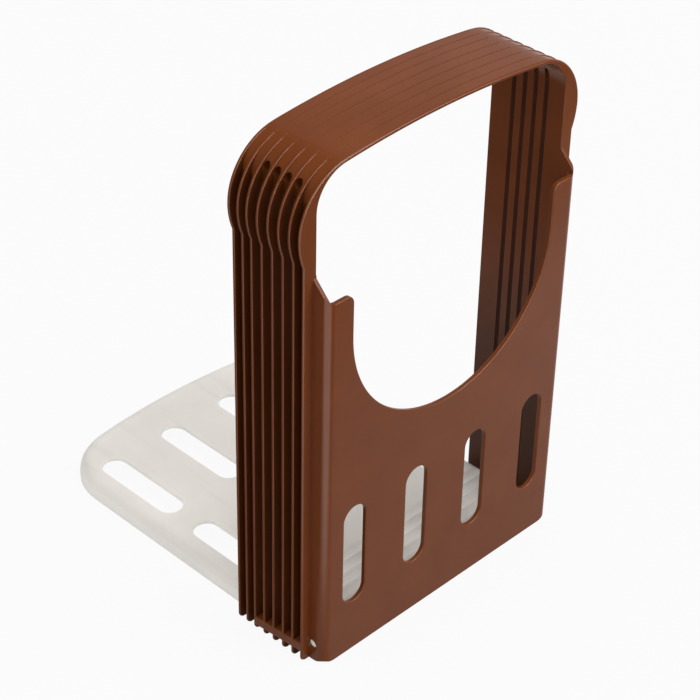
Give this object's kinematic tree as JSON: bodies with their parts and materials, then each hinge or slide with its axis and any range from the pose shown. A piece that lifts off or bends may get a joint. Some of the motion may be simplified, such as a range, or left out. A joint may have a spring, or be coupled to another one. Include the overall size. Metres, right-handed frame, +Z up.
{
  "type": "bread slicer guide",
  "caption": "Upright arch of guide ribs with knife slits for cutting even slices of bread, on a slotted tray that folds up into the arch for storage.",
  "frame": {"origin": "on the table, under the middle of the whole part with the tray open", "axes": "+X to the right seen from the front plate, +Y from the front plate towards the tray's back edge, +Z up"},
  "size_m": [0.1582, 0.1854, 0.24],
  "materials": {
    "brown_abs": "glossy moulded brown ABS",
    "frosted_white": "frosted natural polypropylene, slightly translucent"
  },
  "bodies": {
    "frame": {"frame": "brown_abs"},
    "tray": {"tray": "frosted_white"}
  },
  "joints": [
    {"name": "tray_hinge", "type": "hinge", "parent": "frame", "child": "tray", "pos_m": [0, -0.08595, 0.0084], "axis": [1, 0, 0], "range_deg": [0, 90]}
  ]
}
